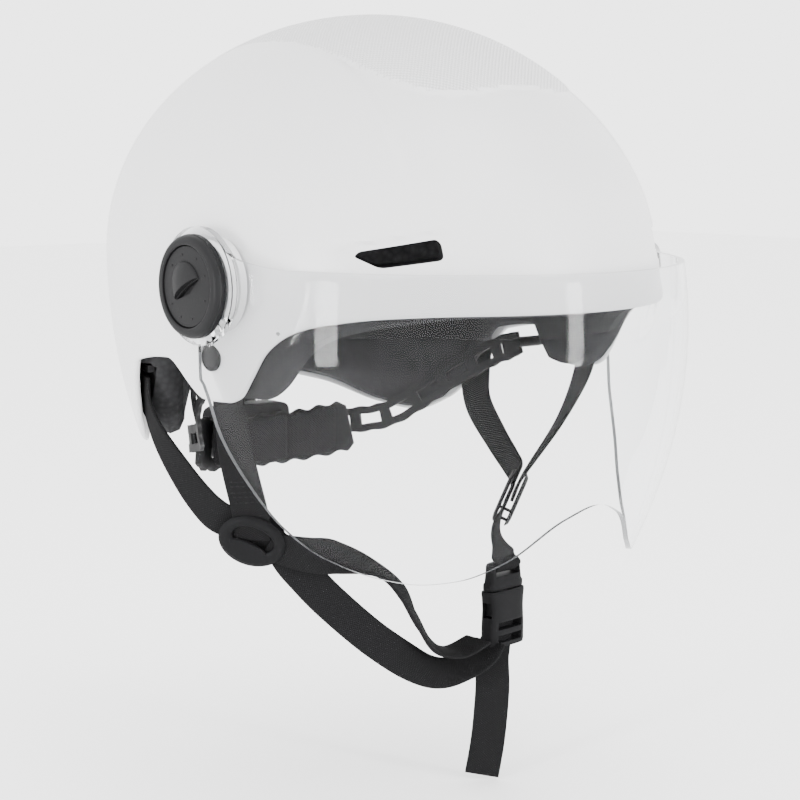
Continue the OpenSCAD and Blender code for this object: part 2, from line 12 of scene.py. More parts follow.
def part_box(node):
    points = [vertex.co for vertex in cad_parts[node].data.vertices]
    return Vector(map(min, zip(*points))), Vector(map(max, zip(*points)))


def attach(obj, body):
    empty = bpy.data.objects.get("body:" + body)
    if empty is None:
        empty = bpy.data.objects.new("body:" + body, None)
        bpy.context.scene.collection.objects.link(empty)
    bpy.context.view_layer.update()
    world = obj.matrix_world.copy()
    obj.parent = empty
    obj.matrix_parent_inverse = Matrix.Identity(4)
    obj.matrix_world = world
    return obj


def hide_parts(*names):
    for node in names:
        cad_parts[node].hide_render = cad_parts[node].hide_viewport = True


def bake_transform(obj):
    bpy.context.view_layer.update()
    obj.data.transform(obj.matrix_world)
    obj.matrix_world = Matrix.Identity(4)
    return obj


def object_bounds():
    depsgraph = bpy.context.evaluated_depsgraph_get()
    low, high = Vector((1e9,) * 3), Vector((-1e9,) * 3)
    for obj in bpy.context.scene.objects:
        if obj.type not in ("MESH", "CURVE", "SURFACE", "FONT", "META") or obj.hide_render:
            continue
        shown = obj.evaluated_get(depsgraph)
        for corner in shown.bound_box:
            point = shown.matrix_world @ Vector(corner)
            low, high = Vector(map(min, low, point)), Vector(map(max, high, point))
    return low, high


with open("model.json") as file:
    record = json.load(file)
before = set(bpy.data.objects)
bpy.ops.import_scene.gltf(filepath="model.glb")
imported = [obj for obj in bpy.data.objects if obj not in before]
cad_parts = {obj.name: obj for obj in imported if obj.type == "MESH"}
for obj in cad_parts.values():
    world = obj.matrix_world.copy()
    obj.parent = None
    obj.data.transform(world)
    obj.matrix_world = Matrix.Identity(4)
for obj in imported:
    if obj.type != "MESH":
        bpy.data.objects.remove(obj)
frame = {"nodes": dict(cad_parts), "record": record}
CAD_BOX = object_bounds()

# ---- camera ----
CAMERA_AZIMUTH = -40
CAMERA_ELEVATION = 5
CAMERA_DISTANCE = 0.92
CAMERA_LENS = 92
CAMERA_SENSOR = 36
CAMERA_TURN_RIGHT = 0.41
CAMERA_TIP_DOWN = 2.52


def add_camera():
    """Looks at the head opening from the wearer's front right, tipped down to show the free strap end."""
    turn = math.radians(CAMERA_AZIMUTH)
    rise = math.radians(CAMERA_ELEVATION)
    back = Vector((math.sin(turn) * math.cos(rise), -math.cos(turn) * math.cos(rise), math.sin(rise)))
    right = Vector((math.cos(turn), math.sin(turn), 0))
    up = back.cross(right)
    data = bpy.data.cameras.new("camera")
    data.lens = CAMERA_LENS
    data.sensor_width = CAMERA_SENSOR
    camera = bpy.data.objects.new("camera", data)
    bpy.context.scene.collection.objects.link(camera)
    base = Matrix((right, up, back)).transposed().to_4x4()
    aim = Matrix.Rotation(math.radians(-CAMERA_TURN_RIGHT), 4, "Y") @ Matrix.Rotation(
        math.radians(-CAMERA_TIP_DOWN), 4, "X")
    camera.matrix_world = Matrix.Translation(back * CAMERA_DISTANCE) @ base @ aim
    bpy.context.scene.camera = camera


# ---- light and floor ----
WORLD_STRENGTH = 3.6
FLOOR_SIZE = 8
FLOOR_GAP = 0.001
SOFTBOX_SIZE = (0.17, 0.42)
SOFTBOX_WATTS = 22


def add_area(name, azimuth, elevation, distance, size, watts):
    """A soft box that faces the origin."""
    turn = math.radians(azimuth)
    rise = math.radians(elevation)
    way = Vector((math.sin(turn) * math.cos(rise), -math.cos(turn) * math.cos(rise), math.sin(rise)))
    data = bpy.data.lights.new(name, "AREA")
    data.shape = "RECTANGLE"
    data.size, data.size_y = size
    data.energy = watts
    light = bpy.data.objects.new(name, data)
    light.location = way * distance
    light.rotation_euler = way.to_track_quat("Z", "Y").to_euler()
    bpy.context.scene.collection.objects.link(light)


def add_studio():
    world = bpy.data.worlds.new("studio")
    world.use_nodes = True
    world.node_tree.nodes["Background"].inputs["Color"].default_value = (1, 1, 1, 1)
    world.node_tree.nodes["Background"].inputs["Strength"].default_value = WORLD_STRENGTH
    bpy.context.scene.world = world
    add_area("key", 5, 62, 1.6, (0.9, 0.9), 10)
    add_area("fill", -110, 20, 1.7, (1.0, 1.0), 5)
    add_area("softbox_near", -79, 0, 1.3, SOFTBOX_SIZE, SOFTBOX_WATTS)
    add_area("softbox_front", 16.5, 0, 1.3, SOFTBOX_SIZE, SOFTBOX_WATTS)
    low = CAD_BOX[0][2]
    bpy.ops.mesh.primitive_plane_add(size=FLOOR_SIZE, location=(0, 0, low - FLOOR_GAP))
    floor = bpy.context.object
    floor.name = "floor"
    floor.data.materials.append(plain_material("floor_pale", (0.93, 0.93, 0.93), 0.8))


# ---- materials ----
# Base colours and mirror reflection are below the real materials', because the white surround is very bright.
# GLOSS is how strongly each finish mirrors its surroundings, where that isn't DEFAULT_GLOSS.
DEFAULT_GLOSS = 0.06
GLOSS = {"shell_white": 0.5, "shell_panel": 0.35, "visor_clear": 0.5, "visor_edge": 0.5, "steel": 0.5,
    "base_plastic": 0.5, "webbing": 0.03, "pad_fabric": 0.03, "foam": 0.04, "black_plastic": 0.03,
    "thread": 0.03}
SHELL_COLOUR = (0.5, 0.5, 0.505)
VISOR_IOR = 1.15
BEADS_PER_METRE = 330


def new_material(name, colour, roughness):
    """A material with its uniform values set on the shader's own sockets."""
    material = bpy.data.materials.new(name)
    material.use_nodes = True
    shader = material.node_tree.nodes["Principled BSDF"]
    shader.inputs["Base Color"].default_value = (*colour, 1)
    shader.inputs["Roughness"].default_value = roughness
    shader.inputs["Specular IOR Level"].default_value = GLOSS.get(name, DEFAULT_GLOSS)
    return material, material.node_tree, shader


def plain_material(name, colour, roughness):
    return new_material(name, colour, roughness)[0]


def add_noise_bump(tree, shader, scale, strength, distance):
    """Fine irregular relief, in the object's own frame."""
    place = tree.nodes.new("ShaderNodeTexCoord")
    noise = tree.nodes.new("ShaderNodeTexNoise")
    noise.inputs["Scale"].default_value = scale
    noise.inputs["Detail"].default_value = 4
    bump = tree.nodes.new("ShaderNodeBump")
    bump.inputs["Strength"].default_value = strength
    bump.inputs["Distance"].default_value = distance
    tree.links.new(place.outputs["Object"], noise.inputs["Vector"])
    tree.links.new(noise.outputs["Fac"], bump.inputs["Height"])
    tree.links.new(bump.outputs["Normal"], shader.inputs["Normal"])
    return noise


def moulded(name, colour, roughness, grain=900, relief=0.12):
    """Moulded plastic with a fine grain and slightly uneven gloss."""
    material, tree, shader = new_material(name, colour, roughness)
    noise = add_noise_bump(tree, shader, grain, relief, 0.0003)
    gloss = tree.nodes.new("ShaderNodeMapRange")
    gloss.inputs["To Min"].default_value = roughness - 0.06
    gloss.inputs["To Max"].default_value = roughness + 0.06
    tree.links.new(noise.outputs["Fac"], gloss.inputs["Value"])
    tree.links.new(gloss.outputs["Result"], shader.inputs["Roughness"])
    return material


def woven(name, colour, roughness, pitches, relief, source="Object", axes="XZ", contrast=0.4):
    """Crossing threads or dots at pitches in metres, on the piece's UV map or in the object's frame."""
    material, tree, shader = new_material(name, colour, roughness)
    place = tree.nodes.new("ShaderNodeTexCoord")
    split = tree.nodes.new("ShaderNodeSeparateXYZ")
    tree.links.new(place.outputs[source], split.inputs["Vector"])
    waves = []
    for axis, pitch in zip(axes, pitches):
        scale = tree.nodes.new("ShaderNodeMath")
        scale.operation = "MULTIPLY"
        scale.inputs[1].default_value = 2 * math.pi / pitch
        tree.links.new(split.outputs[axis], scale.inputs[0])
        wave = tree.nodes.new("ShaderNodeMath")
        wave.operation = "SINE"
        tree.links.new(scale.outputs[0], wave.inputs[0])
        waves.append(wave)
    cross = tree.nodes.new("ShaderNodeMath")
    cross.operation = "MULTIPLY"
    tree.links.new(waves[0].outputs[0], cross.inputs[0])
    tree.links.new(waves[1].outputs[0], cross.inputs[1])
    # Painted shade: the colour is lighter on the weave's raised crossings and darker in its sunken ones,
    # following the bump's height.
    relief_shade = tree.nodes.new("ShaderNodeMapRange")
    relief_shade.inputs["From Min"].default_value = -1
    relief_shade.inputs["To Min"].default_value = 1 - contrast
    relief_shade.inputs["To Max"].default_value = 1 + contrast
    tree.links.new(cross.outputs[0], relief_shade.inputs["Value"])
    shade = tree.nodes.new("ShaderNodeVectorMath")
    shade.operation = "SCALE"
    shade.inputs[0].default_value = colour
    tree.links.new(relief_shade.outputs["Result"], shade.inputs["Scale"])
    tree.links.new(shade.outputs["Vector"], shader.inputs["Base Color"])
    bump = tree.nodes.new("ShaderNodeBump")
    bump.inputs["Strength"].default_value = relief
    bump.inputs["Distance"].default_value = 0.0004
    tree.links.new(cross.outputs[0], bump.inputs["Height"])
    tree.links.new(bump.outputs["Normal"], shader.inputs["Normal"])
    return material


def beaded(name, colour, roughness):
    """Expanded foam: packed beads a few millimetres across."""
    material, tree, shader = new_material(name, colour, roughness)
    place = tree.nodes.new("ShaderNodeTexCoord")
    beads = tree.nodes.new("ShaderNodeTexVoronoi")
    beads.inputs["Scale"].default_value = BEADS_PER_METRE
    tree.links.new(place.outputs["Object"], beads.inputs["Vector"])
    bump = tree.nodes.new("ShaderNodeBump")
    bump.invert = True
    bump.inputs["Strength"].default_value = 0.35
    bump.inputs["Distance"].default_value = 0.0006
    tree.links.new(beads.outputs["Distance"], bump.inputs["Height"])
    tree.links.new(bump.outputs["Normal"], shader.inputs["Normal"])
    # Painted shade: the colour is lighter on the beads' tops and darker in the hollows between them,
    # following the bump's height.
    relief_shade = tree.nodes.new("ShaderNodeMapRange")
    relief_shade.inputs["To Min"].default_value = 1.25
    relief_shade.inputs["To Max"].default_value = 0.7
    tree.links.new(beads.outputs["Distance"], relief_shade.inputs["Value"])
    shade = tree.nodes.new("ShaderNodeVectorMath")
    shade.operation = "SCALE"
    shade.inputs[0].default_value = colour
    tree.links.new(relief_shade.outputs["Result"], shade.inputs["Scale"])
    tree.links.new(shade.outputs["Vector"], shader.inputs["Base Color"])
    return material


def clear_sheet():
    """Clear sheet with faint surface waves. VISOR_IOR is below real polycarbonate's, so it mirrors less."""
    material, tree, shader = new_material("visor_clear", (0.98, 0.985, 0.99), 0.02)
    shader.inputs["Transmission Weight"].default_value = 1
    shader.inputs["IOR"].default_value = VISOR_IOR
    add_noise_bump(tree, shader, 60, 0.01, 0.0001)
    return material


MATERIALS = {
    "shell_white": moulded("shell_white", SHELL_COLOUR, 0.34, 700, 0.05),
    "shell_panel": woven("shell_panel", SHELL_COLOUR, 0.45, (0.0019, 0.0019), 0.7, axes="XY", contrast=0.16),
    "foam": beaded("foam", (0.021, 0.021, 0.022), 0.9),
    "pad_fabric": woven("pad_fabric", (0.009, 0.009, 0.0095), 0.95, (0.0012, 0.0012), 0.6),
    "base_plastic": moulded("base_plastic", (0.6, 0.6, 0.6), 0.4),
    "steel": moulded("steel", (0.5, 0.5, 0.51), 0.3),
    "visor_clear": clear_sheet(),
    "visor_edge": moulded("visor_edge", (0.16, 0.165, 0.17), 0.15, 300, 0.02),
    "dark_grey_plastic": moulded("dark_grey_plastic", (0.008, 0.008, 0.0084), 0.45),
    "knob_plastic": moulded("knob_plastic", (0.009, 0.009, 0.0094), 0.5),
    "black_plastic": moulded("black_plastic", (0.006, 0.006, 0.0064), 0.55),
    "cradle_rubber": moulded("cradle_rubber", (0.012, 0.012, 0.0125), 0.6, 500, 0.2),
    "thread": moulded("thread", (0.012, 0.012, 0.0125), 0.8, 2500, 0.4),
    "webbing": woven("webbing", (0.007, 0.007, 0.0073), 0.9, (0.0016, 0.0011), 0.35, source="UV", axes="XY"),
}


# ---- the CAD's form, repeated here in millimetres ----
MM = 0.001


def cad_middle(node):
    """The middle of a CAD node's box at rest, in millimetres."""
    low_corner, high_corner = (np.array(corner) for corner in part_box(node))
    return np.round((low_corner + high_corner) / 2 / MM, 1)


HALF_LENGTH = 133
HALF_WIDTH = 116
CROWN_RISE = 111
SKIRT_DROP = 176
WIDEST_Z = 20
EGG = 0.05
SHELL_WALL = 3
LINER_OUT = 3.8
LINER_IN = 24.8
PIVOT = cad_middle("turn_knob_left")[1:]
DIAL_MIDDLE = cad_middle("fit_dial")
SLIDER_MIDDLE = cad_middle("slider_left")
FAR_X = 140
RIVET = (-23, -11.5)
STUD = (0, -20)
PINHOLE = (-56, 0)
SCREW_HOLE = 2.6
SHELL_RIM = [[0, 8], [30, 8], [44, 7], [57, 3.5], [63, -0.5], [68, -8], [72, -20], [75, -28], [78, -30],
    [84, -30], [93.5, -14], [106, -17.5], [109, -24], [114, -40], [121, -53], [130, -59.5], [140, -56],
    [155, -45], [166, -41], [180, -41]]
LINER_RIM = [[0, 6], [26, 6], [36, 4.5], [46, 2], [55, -2], [60, -7], [64, -14.5], [70, -27], [74, -29.5],
    [84, -29.5], [93, -13], [106, -16], [109, -24], [114, -39], [121, -50.5], [130, -56.5], [140, -53],
    [155, -42], [166, -38.5], [180, -38.5]]
VENT_OUTLINE = [[18.5, -1], [16.5, 1], [-13.5, 6], [-15.5, 4.2], [-16.5, -1], [-15.3, -2.3], [7, -5.3],
    [9.5, -5]]
VENT_RECESS = [[28, 3], [-18, 10.5], [-21, -4.5], [13, -9.5]]
VENT_TURN = 37
VENT_Z = 32
PANEL_HALF_WIDTH = 54.5
PANEL_FRONT = 85.5
PANEL_REAR = 118
PANEL_POWER = 3.4
RECESS_SLOPE = 2.8
BAND_DEPTH = 1.4
BROW_DEPTH = 1.5
DEEPEST_RELIEF = 2.35
VISOR_TOP = [[0, 24.5], [45, 25], [60, 25.5], [68, 29], [76, 37], [80.2, 41.5]]
VISOR_BOTTOM = [[0, -70], [8, -75], [20, -92], [30, -99.5], [38, -101], [46, -99], [58, -91], [66, -79],
    [72, -62], [77, -42], [80.2, -20]]
VISOR_END = 80.2
VISOR_WALL = 2.4
EYE_IN = 116.7
EYE_OUT = 119.9


def curve_through(rows):
    """A smooth curve through rows of [place, height], flat at its ends and never overshooting a row."""
    places, heights = np.array(rows, float).T
    slopes = np.diff(heights) / np.diff(places)
    same = slopes[:-1] * slopes[1:] > 0
    tangents = np.zeros(len(places))
    total = np.where(same, slopes[:-1] + slopes[1:], 1)
    tangents[1:-1] = np.where(same, 2 * slopes[:-1] * slopes[1:] / total, 0)

    def height_at(x):
        x = np.asarray(x, float)
        i = np.clip(np.searchsorted(places, x, side="right") - 1, 0, len(slopes) - 1)
        w = places[i + 1] - places[i]
        t = np.clip((x - places[i]) / w, 0, 1)
        return (heights[i] * (1 + 2 * t) * (1 - t) ** 2 + heights[i + 1] * t * t * (3 - 2 * t)
                + tangents[i] * w * t * (1 - t) ** 2 - tangents[i + 1] * w * t * t * (1 - t))
    return height_at


def ease(t):
    k = np.clip(t, 0, 1)
    return k * k * (3 - 2 * k)


def form(turn, tip, inset):
    """A point on the shell's form: turn from the front and tip from the crown, in degrees."""
    turn, tip, inset = np.broadcast_arrays(np.radians(turn), np.radians(tip), np.asarray(inset, float))
    r = np.sin(tip)
    h = np.cos(tip)
    lean = np.where(h > 0, 10 * h * (1.4 - 0.4 * h), 7 * h)
    rise = np.where(h > 0, CROWN_RISE - inset, SKIRT_DROP)
    return np.stack([(HALF_WIDTH - inset) * r * np.sin(turn) * (1 - EGG * np.cos(turn)),
        lean - (HALF_LENGTH - inset) * r * np.cos(turn), WIDEST_Z + rise * h], -1)


def tip_at(z, inset):
    z, inset = np.broadcast_arrays(np.asarray(z, float), np.asarray(inset, float))
    return np.degrees(np.arccos((z - WIDEST_Z) / np.where(z > WIDEST_Z, CROWN_RISE - inset, SKIRT_DROP)))


# ---- mesh making ----
def raw_object(name, points, faces):
    """A closed mesh from points in millimetres, with doubled points joined and faces turned outwards."""
    mesh = bpy.data.meshes.new(name)
    mesh.from_pydata([tuple(p) for p in np.asarray(points, float) * MM], [], [tuple(f) for f in faces])
    model = bmesh.new()
    model.from_mesh(mesh)
    bmesh.ops.remove_doubles(model, verts=model.verts, dist=1e-6)
    bmesh.ops.dissolve_degenerate(model, edges=model.edges, dist=1e-7)
    loose = [edge for edge in model.edges if not edge.link_faces]
    bmesh.ops.delete(model, geom=loose, context="EDGES")
    bmesh.ops.recalc_face_normals(model, faces=model.faces)
    model.to_mesh(mesh)
    model.free()
    thing = bpy.data.objects.new(name, mesh)
    bpy.context.scene.collection.objects.link(thing)
    return thing


def applied(thing):
    """Applies the object's modifiers to its mesh."""
    graph = bpy.context.evaluated_depsgraph_get()
    mesh = bpy.data.meshes.new_from_object(thing.evaluated_get(graph))
    thing.modifiers.clear()
    thing.data = mesh


def combine(thing, others, how="DIFFERENCE"):
    """Cuts other objects out of an object, or joins them to it, and drops them."""
    for other in others:
        step = thing.modifiers.new("step", "BOOLEAN")
        step.object = other
        step.operation = how
        step.solver = "EXACT"
    applied(thing)
    for other in others:
        bpy.data.objects.remove(other)
    return thing


def joined(thing, others):
    """Puts other objects' meshes into an object, side by side."""
    model = bmesh.new()
    model.from_mesh(thing.data)
    for other in others:
        model.from_mesh(other.data)
        bpy.data.objects.remove(other)
    model.to_mesh(thing.data)
    model.free()
    return thing


def bevelled(thing, width, segments=3, limit=40):
    step = thing.modifiers.new("step", "BEVEL")
    step.width = width * MM
    step.segments = segments
    step.limit_method = "ANGLE"
    step.angle_limit = math.radians(limit)
    applied(thing)
    return thing


def settle(thing, name, slot, body="root", stands_for=(), sharp=35):
    """Shades a finished object, gives it its material, and ties it to a body if one is named."""
    model = bmesh.new()
    model.from_mesh(thing.data)
    for face in model.faces:
        face.smooth = True
    for edge in model.edges:
        edge.smooth = len(edge.link_faces) == 2 and edge.calc_face_angle(0) < math.radians(sharp)
    model.to_mesh(thing.data)
    model.free()
    thing.name = name
    if not thing.data.materials:
        thing.data.materials.append(MATERIALS[slot])
    if body:
        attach(thing, body)
    if stands_for:
        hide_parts(*stands_for)
    return thing


def closed_rows(rows):
    """Quads between consecutive closed rows of equal length, the last row joined to the first."""
    count, around = len(rows), len(rows[0])
    points = np.asarray(rows, float).reshape(-1, 3)
    faces = []
    for i in range(count):
        for j in range(around):
            a = i * around + j
            b = i * around + (j + 1) % around
            c = (i + 1) % count * around + (j + 1) % around
            faces.append((a, b, c, (i + 1) % count * around + j))
    return points, faces


def capped_rows(rows):
    """Quads between consecutive closed rows, with a face over the first row and over the last."""
    points, faces = closed_rows(rows)
    around = len(rows[0])
    last = len(points) - 1
    return points, faces[:-around] + [tuple(range(around)), tuple(range(last, last - around, -1))]


def lathe(profile, y, z, side, around=96):
    """A turned solid about an axis along X, from a closed profile of (distance out, radius)."""
    turn = np.linspace(0, 2 * math.pi, around, endpoint=False)
    rows = [np.stack([np.full(around, side * x), y + r * np.cos(turn), z + r * np.sin(turn)], -1)
        for x, r in profile]
    return raw_object("lathe", *closed_rows(rows))


def pivot_rod(radius, start, end, side, y=PIVOT[0], z=PIVOT[1]):
    return lathe([(start, 0), (start, radius), (end, radius), (end, 0)], y, z, side)


def slab(outer, inner, keep=None):
    """A closed sheet between two grids. Cells where keep is false are left open, with walls round them."""
    rows, cols = outer.shape[:2]
    keep = np.ones((rows - 1, cols - 1), bool) if keep is None else keep
    skin = rows * cols
    faces = []

    def kept(i, j):
        return 0 <= i < rows - 1 and 0 <= j < cols - 1 and keep[i, j]

    for i in range(rows - 1):
        for j in range(cols - 1):
            if not keep[i, j]:
                continue
            a, b = i * cols + j, i * cols + j + 1
            c, d = b + cols, a + cols
            faces += [(a, b, c, d), (skin + a, skin + d, skin + c, skin + b)]
            sides = ((a, b, (i - 1, j)), (b, c, (i, j + 1)), (c, d, (i + 1, j)), (d, a, (i, j - 1)))
            for p, q, beside in sides:
                if not kept(*beside):
                    faces.append((q, p, skin + p, skin + q))
    points = np.concatenate([outer.reshape(-1, 3), inner.reshape(-1, 3)])
    used = sorted({k for face in faces for k in face})
    place = {k: n for n, k in enumerate(used)}
    return raw_object("slab", points[used], [[place[k] for k in face] for face in faces])


def prism(outline, start, end, base, right, up, out):
    """A prism over an outline in the plane of right and up, between two distances along out."""
    outline = np.array(outline, float)
    rings = [base + outline[:, :1] * right + outline[:, 1:] * up + out * along for along in (start, end)]
    count = len(outline)
    faces = [tuple(range(count)), tuple(range(2 * count - 1, count - 1, -1))]
    faces += [(k, (k + 1) % count, (k + 1) % count + count, k + count) for k in range(count)]
    return raw_object("prism", np.concatenate(rings), faces)


# ---- shell and liner ----
def side_ways(side):
    """The vent's own directions on one side: towards the rear, up, and outwards."""
    turn = math.radians(VENT_TURN)
    rear = np.array([side * math.cos(turn), math.sin(turn), 0])
    out = np.array([side * math.sin(turn), -math.cos(turn), 0])
    return rear, np.array([0.0, 0, 1]), out


def rounded_outline(outline, radius, steps=4):
    """An outline with each corner replaced by a short curve."""
    corners = np.array(outline, float)
    rounded = []
    for before, corner, after in zip(np.roll(corners, 1, axis=0), corners, np.roll(corners, -1, axis=0)):
        ends = []
        for other in (before, after):
            reach = np.linalg.norm(other - corner)
            ends.append(corner + (other - corner) / reach * min(radius, 0.4 * reach))
        for t in np.linspace(0, 1, steps):
            rounded.append((1 - t) ** 2 * ends[0] + 2 * t * (1 - t) * corner + t * t * ends[1])
    return rounded


def vent_cutter(side):
    rear, up, out = side_ways(side)
    return prism(rounded_outline(VENT_OUTLINE, 1.2), 60, FAR_X, np.array([0, 0, VENT_Z]), rear, up, out)


def inside_depth(places, outline):
    """How far points lie inside a convex outline, below zero outside it."""
    corners = np.array(outline, float)
    depth = np.full(places.shape[:-1], np.inf)
    for a, b in zip(corners, np.roll(corners, -1, axis=0)):
        along = (b - a) / np.linalg.norm(b - a)
        depth = np.minimum(depth, (places[..., 0] - a[0]) * -along[1] + (places[..., 1] - a[1]) * along[0])
    return depth


def panel_level(x, y):
    """Below 1 inside the crown panel's outline, and above 1 outside it."""
    length = np.where(y < 0, -y / PANEL_FRONT, y / PANEL_REAR)
    return (np.abs(x) / PANEL_HALF_WIDTH) ** PANEL_POWER + length ** PANEL_POWER


def shell_relief(points):
    """How deep the shell's outside is pressed in: round the vents, along the top band and at the brow."""
    x, y, z = np.moveaxis(points, -1, 0)
    relief = np.zeros(x.shape)
    for side in (-1, 1):
        rear, _, out = side_ways(side)
        places = np.stack([points @ rear, z - VENT_Z], -1)
        depth = inside_depth(places, VENT_RECESS)
        relief += np.where(points @ out > 0, DEEPEST_RELIEF * np.clip(depth / RECESS_SLOPE, 0, 1), 0)
    within = panel_level(x, y)
    ridge = 56 + 0.24 * (114 - z)
    band = ease((within - 1) / 0.07) * ease((ridge - np.abs(x)) / 3.5) * ease((z - 52) / 26) * (y < 60)
    brow = ease((z - 10) / 10) * ease((62 - z) / 36) * ease((-y - 52) / 50)
    return np.minimum(relief + BAND_DEPTH * band + BROW_DEPTH * brow, DEEPEST_RELIEF)


EDGE_STEPS = 7
EDGE_ROUND = 0.45


def dome(rim, outside, inside, rows, cols, relief=None):
    """A closed dome between two insets, with its edge rounded over along the rim."""
    turns = np.linspace(0, 360, cols, endpoint=False)
    height = curve_through(rim)(np.where(turns > 180, 360 - turns, turns))
    half = (inside - outside) / 2
    rings = [(share, outside, 0) for share in np.linspace(0, 1, rows + 1)]
    for angle in np.linspace(0, math.pi, EDGE_STEPS):
        rings.append((1, outside + half - half * math.cos(angle), EDGE_ROUND * half * (1 - math.sin(angle))))
    rings += [(share, inside, 0) for share in np.linspace(1, 0, rows // 2 + 1)]
    skins = []
    for number, (share, inset, back) in enumerate(rings):
        edge = tip_at(height, inset)
        pull = EDGE_ROUND * half if number <= rows or number > rows + EDGE_STEPS else back
        tip = (edge - pull) * share
        depth = inset
        if relief is not None and number <= rows:
            depth = inset + relief(form(turns, tip, inset))
        skins.append(form(turns, tip, depth))
    count = len(skins)
    faces = [(i * cols + j, (i + 1) * cols + j, (i + 1) * cols + (j + 1) % cols, i * cols + (j + 1) % cols)
        for i in range(count - 1) for j in range(cols)]
    return raw_object("dome", np.concatenate(skins), faces)


# The floor of each pivot's pocket, as (distance out, radius)
POCKET_FLOOR = [(109.5, SCREW_HOLE), (109.5, 20), (112.5, 20), (112.5, SCREW_HOLE)]


def add_shell():
    shell = dome(SHELL_RIM, 0, SHELL_WALL, 110, 420, shell_relief)
    cutters = []
    for side in (-1, 1):
        cutters += [vent_cutter(side), pivot_rod(19, 112.5, FAR_X, side),
            pivot_rod(5.7, 110.4, FAR_X, side, *RIVET), pivot_rod(SCREW_HOLE, 100, FAR_X, side, *RIVET),
            pivot_rod(SCREW_HOLE, 100, FAR_X, side), pivot_rod(0.8, 101, FAR_X, side, *PINHOLE)]
    combine(shell, cutters)
    joined(shell, [lathe(POCKET_FLOOR, *PIVOT, side) for side in (-1, 1)])
    shell.data.materials.append(MATERIALS["shell_white"])
    shell.data.materials.append(MATERIALS["shell_panel"])
    for face in shell.data.polygons:
        x, y, z = face.center / MM
        face.material_index = int(panel_level(x, y) < 1 and z > 60)
    settle(shell, "shell_skin", "shell_white", "root", ["outer_shell"], 28)


# The liner's channels: the front strap's outline seen from the side, then the rear strap's outline and place
FRONT_CHANNEL = [[-33, -60], [-13, -60], [-13, 2], [-33, 2]]
REAR_CHANNEL = [[0, 0], [20, 0], [20, 40], [0, 40]]
REAR_CHANNEL_CORNER = (98.4, 36.6, -60)
REAR_CHANNEL_TURN = 20


def add_liner():
    liner = dome(LINER_RIM, LINER_OUT, LINER_IN, 48, 220)
    cutters = []
    for side in (-1, 1):
        cutters += [vent_cutter(side), pivot_rod(20.4, 109.1, FAR_X, side),
            pivot_rod(8.4, 102.8, FAR_X, side), pivot_rod(2.6, 81.6, 97.4, side, *STUD)]
        cutters.append(prism(FRONT_CHANNEL, 100.5, 120.5, np.zeros(3), np.array([0.0, 1, 0]),
            np.array([0.0, 0, 1]), np.array([side, 0.0, 0])))
        turn = math.radians(REAR_CHANNEL_TURN)
        out = np.array([side * math.cos(turn), math.sin(turn), 0])
        along = np.array([-side * math.sin(turn), math.cos(turn), 0])
        corner = np.array(REAR_CHANNEL_CORNER) * np.array([side, 1, 1])
        cutters.append(prism(REAR_CHANNEL, 0, 20, corner, along, np.array([0.0, 0, 1]), out))
    combine(liner, cutters)
    settle(liner, "liner_foam", "foam", "root", ["foam_liner"], 30)


# ---- visor ----
VISOR_HALF_WIDTH = 118.4
VISOR_REACH = 143
VISOR_TAPER = 0.185
EYE_RADIUS = 24
EYE_BLEND = 26
EYE_HOLE = 11.05


def visor_points(turn, z, out):
    """Points on the visor, tapered from its middle and flattened to a plane round each pivot."""
    turn_rad = np.radians(turn)
    s = 1 - VISOR_TAPER * ((z + 5) / 100) ** 2
    x = (VISOR_HALF_WIDTH * s + out) * np.sin(turn_rad)
    y = -(VISOR_REACH * s + out) * np.cos(turn_rad)
    flat = (EYE_IN + 0.2 + out) * np.sign(turn)
    k = ease((np.hypot(y - PIVOT[0], z - PIVOT[1]) - EYE_RADIUS) / EYE_BLEND)
    return np.stack([flat + (x - flat) * k, y, z], -1)


def visor_grid(out, rows=60, cols=240):
    turn = np.linspace(-VISOR_END, VISOR_END, cols + 1)[None, :]
    top = curve_through(VISOR_TOP)(np.abs(turn))
    low = curve_through(VISOR_BOTTOM)(np.abs(turn))
    share = np.linspace(0, 1, rows + 1)[:, None]
    z = top + (low - top) * share
    return visor_points(np.broadcast_to(turn, z.shape), z, out)


def add_visor():
    visor = slab(visor_grid(VISOR_WALL), visor_grid(0))
    combine(visor, [pivot_rod(EYE_RADIUS, EYE_IN, EYE_OUT, side) for side in (-1, 1)], "UNION")
    combine(visor, [pivot_rod(EYE_HOLE, 100, FAR_X, side) for side in (-1, 1)])
    bevelled(visor, 0.35, 2, 50)
    visor.data.materials.clear()
    visor.data.materials.append(MATERIALS["visor_clear"])
    visor.data.materials.append(MATERIALS["visor_edge"])
    for face in visor.data.polygons:
        x, y, z = face.center
        outwards = Vector((x / 0.118 ** 2, y / 0.143 ** 2, 0)).normalized()
        apart = math.hypot(y / MM - PIVOT[0], z / MM - PIVOT[1])
        face.material_index = int(abs(face.normal.dot(outwards)) < 0.4 and apart > 27)
    settle(visor, "visor_sheet", "visor_clear", "visor", ["visor"], 30)


# ---- pivots and rivets ----
BEZEL = [(119.9, 12), (119.9, 20.5), (120.4, 21), (122.6, 21), (122.8, 20.75), (124.1, 20.5), (124.7, 20.1),
    (125.2, 19.4), (125.4, 18.6), (125.4, 17.3), (125.1, 16.75), (120.42, 16.7),
    (120.42, 12)]
KNOB = [(118.2, 0), (118.2, 6.5), (120.6, 6.5), (120.6, 16.4), (124.2, 16.4), (124.5, 16.2), (124.6, 15.8),
    (124.6, 0)]


RIVET_PLUG = [(103.7, 0), (103.7, 2.5), (110.4, 2.5), (110.4, 5.5), (111.9, 5.5), (112.3, 5.1), (112.4, 4.6),
    (112.1, 4.2), (112.3, 2.4), (112.5, 0)]
MARK = [(124.4, 0), (124.4, 0.55), (124.75, 0.45), (124.9, 0.2), (124.9, 0)]
MARK_CIRCLE = 13.2
MARK_ANGLES = (38, 76, 120, 158, 202, 255, 290, 325)
GRIP_SLANT = math.radians(30)


